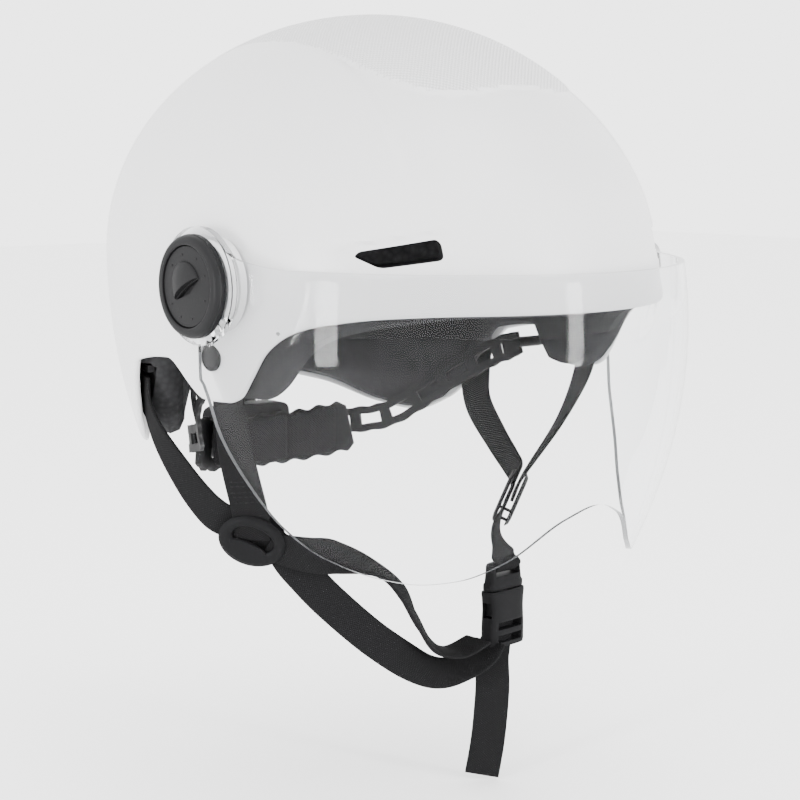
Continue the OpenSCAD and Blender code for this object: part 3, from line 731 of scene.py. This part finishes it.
def knob_grip(side, cols=49, rows=33):
    """The half dome on a knob's face, cut off along its slanted slot."""
    across = np.linspace(-1, 1, cols)[None, :]
    share = np.linspace(0, 1, rows)[:, None]
    reach = np.sqrt(np.clip(1 - across ** 2, 0, 1))
    u = 9.5 * across + 0 * share
    v = 10.5 * reach * share - 1 + 1.2 * reach
    top = 2.9 * (1 - share ** 2) ** 0.5 * (0.35 + 0.65 * reach) * reach ** 0.5
    lift = np.maximum(top, 0)
    y = PIVOT[0] + u * math.cos(GRIP_SLANT) + v * math.sin(GRIP_SLANT)
    z = PIVOT[1] - u * math.sin(GRIP_SLANT) + v * math.cos(GRIP_SLANT)
    outer = np.stack([side * (124.6 + lift), y, z], -1)
    inner = np.stack([np.full(y.shape, side * 124.0), y, z], -1)
    return slab(outer, inner)


def add_pivots():
    for side, name in ((-1, "right"), (1, "left")):
        settle(lathe(BEZEL, *PIVOT, side, 160), f"bezel_ring_{name}", "dark_grey_plastic", "visor",
            [f"bezel_{name}"], 25)
        knob = lathe(KNOB, *PIVOT, side, 160)
        marks = [knob_grip(side)]
        for degrees in MARK_ANGLES:
            y = PIVOT[0] + MARK_CIRCLE * math.cos(math.radians(degrees))
            z = PIVOT[1] + MARK_CIRCLE * math.sin(math.radians(degrees))
            marks.append(lathe(MARK, y, z, side, 16))
        along = np.array([0, math.cos(GRIP_SLANT), -math.sin(GRIP_SLANT)])
        rise = np.array([0, math.sin(GRIP_SLANT), math.cos(GRIP_SLANT)])
        base = np.array([0, PIVOT[0], PIVOT[1]])
        slot_outline = [[-9.5, -1.2], [0, -3.2], [9.5, -1.2], [5, -0.4], [0, -0.1], [-5, -0.4]]
        combine(knob, [prism(slot_outline, 122.6, 130, base, along, rise, np.array([side, 0.0, 0]))])
        joined(knob, marks)
        settle(knob, f"knob_face_{name}", "knob_plastic", f"knob_{name}", [f"turn_knob_{name}"], 28)
    rivets = [lathe(RIVET_PLUG, *RIVET, side, 64) for side in (-1, 1)]
    settle(joined(rivets[0], rivets[1:]), "rivet_plugs", "dark_grey_plastic", "root", ["strap_rivets"], 25)


# ---- pads ----
PAD_OUT = 25.7
PAD_THICK = 6


def pillow(place, rows, cols, channels):
    """A crowned pad: both skins draw together to a seam at the border, and dip along the sewn channels."""
    u = np.linspace(-1, 1, cols)[None, :] + np.zeros((rows, 1))
    v = np.linspace(-1, 1, rows)[:, None] + np.zeros((1, cols))
    crown = ((1 - np.abs(u) ** 8) * (1 - np.abs(v) ** 6)) ** 0.45
    corner = np.clip((np.abs(u) ** 10 + np.abs(v) ** 10), 0, 2)
    pull = 1 - 0.03 * np.clip(corner - 1, 0, 1)
    seam = sum(np.exp(-((u - c) / 0.018) ** 2) for c in channels) + 0 * u
    middle = 0.42
    back = middle * (1 - crown)
    front = middle + (1 - middle) * crown * (1 - 0.42 * np.clip(seam, 0, 1))
    return slab(place(u * pull, v * pull, back), place(u * pull, v * pull, front))


def lining_place(turns, heights, side=1):
    def place(u, v, depth):
        inset = PAD_OUT + PAD_THICK * depth
        turn = (turns[0] + turns[1]) / 2 + u * (turns[1] - turns[0]) / 2
        z = (heights[0] + heights[1]) / 2 - v * (heights[1] - heights[0]) / 2
        points = form(turn, tip_at(z, inset), inset)
        points[..., 0] *= side
        return points
    return place


def crown_place(u, v, depth):
    inset = LINER_IN + 2 + PAD_THICK * depth
    x = 24 * u
    y = 9 + 49 * v
    z = WIDEST_Z + (CROWN_RISE - inset) * np.sqrt(1 - (x / (HALF_WIDTH - inset)) ** 2
        - ((y - 10) / (HALF_LENGTH - inset)) ** 2)
    return np.stack([x, y, z], -1)


def nape_place(u, v, depth):
    """The nape pad follows the band round the back of the neck."""
    x = 37 * u
    y = 96.3 - 14.3 * np.abs(u) ** 1.9 + 2.1 - 4.2 * depth
    z = -71 + 5 * np.abs(u) ** 1.8 + 11.4 * v
    return np.stack([x, y, z], -1)


def add_pads():
    pads = [
        ("brow_cushion", "brow_pad", lining_place([-48, 48], [10, 25]), 24, 150, (-0.5, 0, 0.5)),
        ("rear_cushion", "rear_pad", lining_place([152, 208], [-22, 14]), 36, 90, (-0.35, 0.35)),
        ("side_cushion_right", "side_pad_right", lining_place([62, 92], [2, 30], -1), 32, 54, (0,)),
        ("side_cushion_left", "side_pad_left", lining_place([62, 92], [2, 30]), 32, 54, (0,)),
        ("crown_cushion", "crown_pad", crown_place, 90, 44, (-0.34, 0.34)),
    ]
    for name, node, place, rows, cols, channels in pads:
        pad = settle(pillow(place, rows, cols, channels), name, "pad_fabric", "root", [node], 60)
    nape = pillow(nape_place, 30, 80, (-0.4, 0.4))
    settle(nape, "nape_cushion", "pad_fabric", "cradle", ["nape_pad"], 60)


# ---- webbing ----
WEB_WIDTH = 16
WEB_THICK = 1.6
FRONT_STRAP = [[[107, -23, -4], [0.155, 0.99, 0]], [[105.6, -23, -18], [0.155, 0.99, 0]],
    [[103, -23.5, -33], [0.3, 0.95, 0]], [[94.5, -17, -57], [0.6, 0.8, 0]],
    [[80.4, -6.5, -83.5], [0.75, 0.67, 0]], [[77.3, -2.9, -94.5], [0.75, 0.67, 0]]]
REAR_STRAP = [[[99.1, 45.7, -25.4], [-0.35, 0.93, 0]], [[97.6, 46.2, -38], [-0.35, 0.93, 0]],
    [[94.5, 40.7, -54], [-0.2, 0.85, -0.4]], [[92.5, 25, -70], [0, 0.68, -0.73]],
    [[90.7, 12.9, -79.8], [0.1, 0.6, -0.79]], [[88.3, 6, -84.5], [0.14, 0.59, -0.8]],
    [[82.4, 1.9, -88.2], [0.14, 0.59, -0.8]], [[76.6, -1.3, -91.6], [0.14, 0.59, -0.8]]]
CHIN_RIGHT_LOW = [[[-75.6, -2.1, -92.3], [0.14, -0.59, 0.8]], [[-65.1, -7.2, -99.7], [0.14, -0.59, 0.8]],
    [[-57.3, -9.6, -109.3], [0.4, -0.24, 0.85]], [[-44, -15, -125], [0.5, -0.3, 0.8]],
    [[-21, -21, -146], [0.5, -0.3, 0.85]], [[4, -25, -162], [0.2, 0.4, 0.85]],
    [[24, -26, -164], [-0.1, 0.9, 0.4]], [[37, -25, -161], [-0.2, 1, 0.2]]]
CHIN_RIGHT_HIGH = [[[-71.6, -6.8, -96.5], [0.14, -0.59, 0.8]], [[-66.2, -10.2, -99.3], [0.14, -0.59, 0.8]],
    [[-57.5, -18, -101.5], [0.15, -0.2, 0.95]], [[-47, -24, -103], [0.2, 0.5, 0.75]],
    [[-31, -29, -108.5], [0.4, 0.8, 0.3]], [[-17, -31, -121], [0.6, 0.6, 0.1]],
    [[-7, -30, -136], [0.6, 0.7, 0]], [[5, -27, -149.5], [0.5, 0.8, 0.1]], [[20, -25, -156], [0, 1, 0.1]],
    [[36, -24, -153], [-0.2, 1, 0]]]
CHIN_LEFT = [[[75.7, -2.2, -92.4], [-0.14, -0.59, 0.8]], [[65.5, -7.6, -99], [-0.14, -0.59, 0.8]],
    [[58.5, -13, -105.5], [-0.55, -0.4, 0.6]], [[54.2, -20.6, -111.6], [-0.95, -0.2, 0.2]],
    [[53.4, -21.9, -116.2], [-0.99, -0.14, 0]]]
TAIL_ROUTE = [[[44.5, -24.5, -161.5], [0.9, -0.4, 0]], [[43, -26, -178], [0.8, -0.6, 0]],
    [[40.5, -26, -200], [0.8, -0.6, 0]], [[37, -25.5, -217.5], [0.8, -0.6, 0]]]


def route_frames(rows, steps):
    """Places along a route, with the direction, the width's direction and the face's direction at each."""
    table = np.array(rows, float)

    def at(s, k):
        i = min(int(s), len(table) - 2)
        a, b, c, d = (table[min(len(table) - 1, max(0, i + n)), k] for n in (-1, 0, 1, 2))
        t = s - i
        return (b + t * (c - a) / 2 + t * t * (2 * a - 5 * b + 4 * c - d) / 2
                + t * t * t * (3 * b - 3 * c + d - a) / 2)

    frames = []
    for s in np.clip(np.linspace(0, len(table) - 1, (len(table) - 1) * steps + 1), 0.02, len(table) - 1.02):
        way = at(s + 0.01, 0) - at(s - 0.01, 0)
        way /= np.linalg.norm(way)
        face = np.cross(way, at(s, 1))
        face /= np.linalg.norm(face)
        frames.append((at(s, 0), way, np.cross(face, way), face))
    return frames


def run_along(frames):
    """The distance run along a route at each of its frames."""
    steps = [np.linalg.norm(b[0] - a[0]) for a, b in zip(frames, frames[1:])]
    return np.concatenate([[0], np.cumsum(steps)])


def strap_mesh(rows, width=WEB_WIDTH, thick=WEB_THICK, steps=14):
    """Webbing with rounded selvedges. Its UV map runs across and along it in metres, for the weave."""
    flat = np.linspace(-1, 1, 9) * (width - thick) / 2
    bend = np.linspace(-math.pi / 2, math.pi / 2, 6)[1:-1]
    section = [(x, -thick / 2) for x in flat]
    section += [(flat[-1] + thick / 2 * math.cos(b), thick / 2 * math.sin(b)) for b in bend]
    section += [(x, thick / 2) for x in flat[::-1]]
    section += [(flat[0] - thick / 2 * math.cos(b), thick / 2 * math.sin(b)) for b in bend[::-1]]
    frames = route_frames(rows, steps)
    skins = [[place + side * a + face * b for a, b in section] for place, _, side, face in frames]
    around = len(section)
    run = run_along(frames)
    strap = raw_object("strap", *capped_rows(skins))
    layer = strap.data.uv_layers.new(name="weave")
    for corner in strap.data.loops:
        i, k = divmod(corner.vertex_index, around)
        layer.data[corner.index].uv = (section[k][0] * MM, run[i] * MM)
    return strap


def flipped(rows, side):
    return [[[side * p[0], p[1], p[2]], [side * w[0], w[1], w[2]]] for p, w in rows]


# One stitch: its rings as (distance along, size), its half width across the thread, and its number of sides
STITCH_RINGS = ((-0.95, 0.05), (-0.7, 0.9), (0, 1), (0.7, 0.9), (0.95, 0.05))
STITCH_HALF = 0.32
STITCH_SIDES = 8


def stitches(rows, starts, pitch=2.4, lift=0.25):
    """Rows of thread across the webbing, as short raised dashes."""
    frames = route_frames(rows, 40)
    run = run_along(frames)
    angles = np.linspace(0, 2 * math.pi, STITCH_SIDES, endpoint=False)
    dashes = []
    for start in starts:
        place, way, side, face = frames[int(np.argmin(np.abs(run - start)))]
        for n in range(-2, 3):
            for sheet_side in (-1, 1):
                centre = place + side * n * pitch + face * sheet_side * (WEB_THICK / 2 + lift / 2 - 0.1)
                round_thread = [way * math.cos(a) * STITCH_HALF + face * math.sin(a) * lift for a in angles]
                rings = [[centre + side * along + edge * size for edge in round_thread]
                    for along, size in STITCH_RINGS]
                dashes.append(raw_object("dash", *capped_rows(rings)))
    return joined(dashes[0], dashes[1:])


# Where the front and rear webbing reaches its slider, in metres
FRONT_BLEND = (0.096, -0.018, -0.054)
REAR_BLEND = (0.0935, 0.033, -0.062)
# The stitching's distances along the front webbing
STITCH_ROWS = (66, 69, 72, 75, 78)


def add_webbing():
    for side, name in ((-1, "right"), (1, "left")):
        front = flipped(FRONT_STRAP, side)
        rear = flipped(REAR_STRAP, side)
        straps = [
            (strap_mesh(front), f"front_web_{name}", "webbing", [f"front_strap_{name}"], FRONT_BLEND),
            (stitches(front, STITCH_ROWS), f"front_stitching_{name}", "thread", [], FRONT_BLEND),
            (strap_mesh(rear), f"rear_web_{name}", "webbing", [f"rear_strap_{name}"], REAR_BLEND),
        ]
        for strap, label, finish, nodes, start in straps:
            settle(strap, label, finish, None, nodes)
            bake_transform(strap)
    plug_end = [[[53.6, -25.7, -119.4], [-0.99, -0.14, 0]], [[53.1, -23, -122.6], [-0.99, -0.14, 0]]]
    chin = settle(strap_mesh(CHIN_LEFT + plug_end), "chin_web_left", "webbing", None, ["chin_strap_left"])
    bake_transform(chin)
    low_end = [[[44, -23.5, -155.5], [-0.2, 1, 0.2]]]
    for rows, name in ((CHIN_RIGHT_LOW + low_end, "low"), (CHIN_RIGHT_HIGH, "high")):
        strap = strap_mesh(rows)
        settle(strap, f"chin_web_right_{name}", "webbing", None, [f"chin_strap_right_{name}"])
        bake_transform(strap)
    tail_start = [[[52.6, -22.1, -146], [0.99, 0.14, 0]], [[51, -22.3, -152], [0.99, 0.08, 0]]]
    settle(strap_mesh(tail_start + TAIL_ROUTE), "tail_web", "webbing", "buckle", ["strap_tail"])


# ---- sliders ----
def slider_ways():
    spin = (Matrix.Rotation(math.radians(42), 3, "Z") @ Matrix.Rotation(math.radians(23), 3, "X")
        @ Matrix.Rotation(math.radians(-30), 3, "Y") @ Matrix.Rotation(math.radians(90), 3, "X"))
    return [np.array(spin.col[k]) for k in range(3)]


def slider_solid(side, rings, around=96):
    """A solid from closed rings in the slider's own plane: (centre up, half width, half height, out)."""
    across, up, out = slider_ways()
    turn = np.linspace(0, 2 * math.pi, around, endpoint=False)
    rows = []
    for centre, half_w, half_h, lift in rings:
        points = (SLIDER_MIDDLE + np.outer(half_w * np.cos(turn), across)
            + np.outer(centre + half_h * np.sin(turn), up) + lift * out)
        rows.append(points * np.array([side, 1, 1]))
    return raw_object("slider", *closed_rows(rows))


SLIDER_FRONT = [(1.5, 10.2, 6.6, 2.52), (1.5, 9.6, 6.1, 2.9), (1.5, 9.7, 6.2, 3.5), (1.4, 10.4, 6.8, 4.2),
    (1.2, 11.6, 8, 4.5), (0.8, 12.6, 9.4, 4.42), (0.3, 13.7, 11, 3.9), (0, 14.6, 12.1, 3.2),
    (0, 14.9, 12.4, 2.9), (0, 14.8, 12.3, 2.52)]
SLIDER_BACK = [(0, 0, 0, -4.4), (0, 11, 8.8, -4.4), (0, 13.6, 11.1, -4.1), (0, 14.7, 12.2, -3.5),
    (0, 14.9, 12.4, -2.9), (0, 14.7, 12.2, -2.52), (0, 0, 0, -2.52)]
SLIDER_LIP = [(-5.8, 0, 0, 2.7), (-5.8, 11, 5.1, 2.7), (-5.8, 11.4, 5.4, 3.5), (-5.6, 10.4, 4.8, 4.2),
    (-5.4, 7, 3, 4.48), (-5.4, 0, 0, 4.5)]


def add_sliders():
    for side, name in ((-1, "right"), (1, "left")):
        across, up, out = slider_ways()
        posts = []
        for x in (-3.5, 3.5):
            centre = SLIDER_MIDDLE + x * across + (1.4 - 12.5) * up
            turn = np.linspace(0, 2 * math.pi, 16, endpoint=False)
            outline = np.stack([0.8 * np.cos(turn), 0.8 * np.sin(turn)], -1)
            mirror = np.array([side, 1, 1])
            posts.append(prism(outline, -3, 3, centre * mirror, across * mirror, up * mirror, out * mirror))
        slider = slider_solid(side, SLIDER_FRONT)
        joined(slider, [slider_solid(side, SLIDER_BACK), slider_solid(side, SLIDER_LIP)] + posts)
        settle(slider, f"slider_body_{name}", "black_plastic", f"slider_{name}", [f"slider_{name}"], 32)


# ---- buckle ----
BUCKLE_TURN = 8
BUCKLE_TOP = round(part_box("buckle_socket")[1][2] / MM, 1)
BUCKLE_POS = np.array([*cad_middle("buckle_socket")[:2], BUCKLE_TOP])


def buckle_ways():
    turn = math.radians(BUCKLE_TURN)
    return np.array([math.cos(turn), math.sin(turn), 0]), np.array([-math.sin(turn), math.cos(turn), 0])


def rounded_loft(sections, base, right, through, up, around=64, power=4):
    """A solid lofted through rounded sections: (height, half width, half depth)."""
    turn = np.linspace(0, 2 * math.pi, around, endpoint=False)
    c, s = np.cos(turn), np.sin(turn)
    size = (np.abs(c) ** power + np.abs(s) ** power) ** (-1 / power)
    rows = []
    for height, half_w, half_d in sections:
        outline = np.outer(half_w * c * size, right) + np.outer(half_d * s * size, through)
        rows.append(base + outline + height * up)
    return raw_object("loft", *capped_rows(rows))


def buckle_box(half_w, half_d, low, high):
    right, through = buckle_ways()
    outline = [[-half_w, -half_d], [half_w, -half_d], [half_w, half_d], [-half_w, half_d]]
    return prism(outline, low, high, BUCKLE_POS, right, through, np.array([0.0, 0, 1]))


# The buckle's halves, as rows of (height from the socket's top, half width, half depth)
SOCKET_ROWS = [(-27, 11.9, 3.4), (-26.6, 12.4, 4.2), (-25, 12.5, 4.6), (-17, 12.2, 4.9), (-13, 11.6, 5.2),
    (-9, 11.3, 5.25), (-4, 11.7, 5.2), (-1.5, 12.3, 5.1), (-0.4, 12.3, 4.9), (0, 12, 4.6)]
PLUG_ROWS = [(0.3, 11.8, 3.7), (0.8, 12, 4), (3, 12, 4), (4, 11.2, 3.7), (9, 10.6, 3.4), (12, 10.6, 3.2),
    (13, 10.2, 2.6)]
STRAP_SLOT = 8.5


def add_buckle():
    right, through = buckle_ways()
    up = np.array([0.0, 0, 1])
    socket = rounded_loft(SOCKET_ROWS, BUCKLE_POS, right, through, up)
    combine(socket, [buckle_box(9.7, 2.8, -14, 1), buckle_box(14, 2.6, -12.5, -5.5),
        buckle_box(STRAP_SLOT, 7, -24.4, -20.8), buckle_box(STRAP_SLOT, 7, -18.2, -14.6)])
    settle(bevelled(socket, 0.35, 2, 60), "buckle_body", "black_plastic", "buckle", ["buckle_socket"], 40)
    plug = rounded_loft(PLUG_ROWS, BUCKLE_POS, right, through, up)
    combine(plug, [buckle_box(STRAP_SLOT, 6, 6.8, 11)])
    settle(bevelled(plug, 0.3, 2, 60), "buckle_clip", "black_plastic", "root", ["buckle_plug"], 40)


# ---- cradle ----
ARM_ROUTE = [[[84, 0, -20], [0, 0, 1]], [[84, 20, -27], [0, 0.2, 1]], [[77.5, 37.5, -37], [0, 0.4, 1]],
    [[67.3, 52, -49], [0, 0.4, 1]], [[56, 66.3, -59.4], [0, 0.3, 1]], [[47, 87, -64], [0, 0.1, 1]],
    [[34, 100.5, -66], [0, 0, 1]], [[25, 106.5, -66], [0, 0, 1]]]
BAND_ROUTE = [[[-46, 82, -65], [0, 0, 1]], [[-28, 94.5, -69.5], [0, 0, 1]], [[0, 100, -71], [0, 0, 1]],
    [[28, 94.5, -69.5], [0, 0, 1]], [[46, 82, -65], [0, 0, 1]]]


def slotted_band(rows, steps, width, thick, wave, slot_pitch, slot_share, slot_length, cols=20):
    """A moulded band with waved edges and a row of elongated slots along its middle."""
    frames = route_frames(rows, steps)
    run = run_along(frames)
    front, back = [], []
    for (place, _, side, face), along in zip(frames, run):
        ends = ease(along / 5) * ease((run[-1] - along) / 5)
        half = width / 2 * (1 - wave + wave * math.cos(along / 11 * 2 * math.pi)) * (0.8 + 0.2 * ends)
        line = [place + side * half * t for t in np.linspace(-1, 1, cols + 1)]
        front.append([p + face * thick / 2 for p in line])
        back.append([p - face * thick / 2 for p in line])
    across = np.abs((np.arange(cols) + 0.5) / cols * 2 - 1)
    middle = (run[1:] + run[:-1]) / 2
    phase = np.abs((middle / slot_pitch) % 1 - 0.5) * 2
    inside = (middle > 12) & (middle < run[-1] - 12)
    keep = ~((phase[:, None] < slot_length) & (across[None, :] < slot_share) & inside[:, None])
    return slab(np.array(front), np.array(back), keep)


RACK_HALF = 1.7
PINION_HOLE = 2.65


def add_cradle():
    out = np.array([0.0, 1, 0])
    right = np.array([1.0, 0, 0])
    up = np.array([0.0, 0, 1])
    dial_base = np.array([0, 0, DIAL_MIDDLE[2]])
    for side, name in ((-1, "right"), (1, "left")):
        arm = slotted_band(flipped(ARM_ROUTE, side), 24, 13, 1.8, 0.05, 17, 0.42, 0.66)
        combine(arm, [pivot_rod(2.55, 81.6, 97, side, *STUD)])
        rack_z = -66 + side * 5.7
        low_edge, high_edge = rack_z - RACK_HALF, rack_z + RACK_HALF
        outline = [[-15, low_edge], [25, low_edge], [25, high_edge], [-15, high_edge]]
        rack = prism(outline, 106, 107.8, np.zeros(3), right, up, out)
        joined(arm, [rack])
        bevelled(arm, 0.3, 2, 50)
        settle(arm, f"arm_band_{name}", "cradle_rubber", "root", [f"cradle_arm_{name}"], 40)
    band = slotted_band(BAND_ROUTE, 36, 26, 2.2, 0.06, 15, 0.5, 0.6)
    settle(bevelled(band, 0.35, 2, 50), "nape_band", "cradle_rubber", "cradle", ["cradle_band"], 40)
    body = rounded_loft([(101.4, 22.4, 12.4), (101.9, 22.9, 12.9), (109.9, 23, 13), (110.4, 22.9, 12.9)],
        dial_base, right, up, out, 96, 7)
    slot = prism([[-40, -8], [40, -8], [40, 8], [-40, 8]], 103.4, 115, dial_base, right, up, out)
    settle(combine(body, [slot]), "housing_body", "black_plastic", "cradle", ["dial_housing"], 35)
    cover = rounded_loft([(110.4, 22.9, 12.9), (111.6, 22.9, 12.9), (112.2, 22.5, 12.5), (112.4, 22, 12)],
        dial_base, right, up, out, 96, 7)
    turn = np.linspace(0, 2 * math.pi, 48, endpoint=False)
    circle = np.stack([PINION_HOLE * np.cos(turn), PINION_HOLE * np.sin(turn)], -1)
    hole = prism(circle, 100, 120, dial_base, right, up, out)
    settle(combine(cover, [hole]), "housing_lid", "black_plastic", "cradle", ["housing_cover"], 35)


# The fit dial's rows, as (distance to the rear, radius, share of the fluting)
DIAL_ROWS = ((112.8, 0, 0), (112.8, 16.2, 1), (113.3, 16.9, 1), (119.6, 16.9, 1), (120.4, 16.2, 1),
    (120.8, 15.2, 0.6), (120.8, 13.4, 0), (120, 12.8, 0), (119.8, 6, 0), (120.2, 0, 0))
FLUTES = 16
FLUTE_DEPTH = 0.085


def add_dial():
    """The fit dial: a fluted rim, a dished face and a softened edge."""
    turn = np.linspace(0, 2 * math.pi, 256, endpoint=False)
    flute = 1 - FLUTE_DEPTH * np.clip(np.cos(FLUTES * turn), 0, 1) ** 2
    rows = []
    for y, r, wave in DIAL_ROWS:
        size = r * (1 + (flute - 1) * wave)
        height = DIAL_MIDDLE[2] + size * np.sin(turn)
        rows.append(np.stack([size * np.cos(turn), np.full(turn.shape, y), height], -1))
    settle(raw_object("dial", *closed_rows(rows)), "dial_wheel", "black_plastic", "dial", ["fit_dial"], 35)


def dress_cad_nodes():
    for part in frame["record"]["subparts"]:
        data = frame["nodes"][part["node"]].data
        data.materials.clear()
        data.materials.append(MATERIALS[part["material_slot"]])


add_camera()
add_studio()
dress_cad_nodes()
add_shell()
add_liner()
add_visor()
add_pivots()
add_pads()
add_webbing()
add_sliders()
add_buckle()
add_cradle()
add_dial()
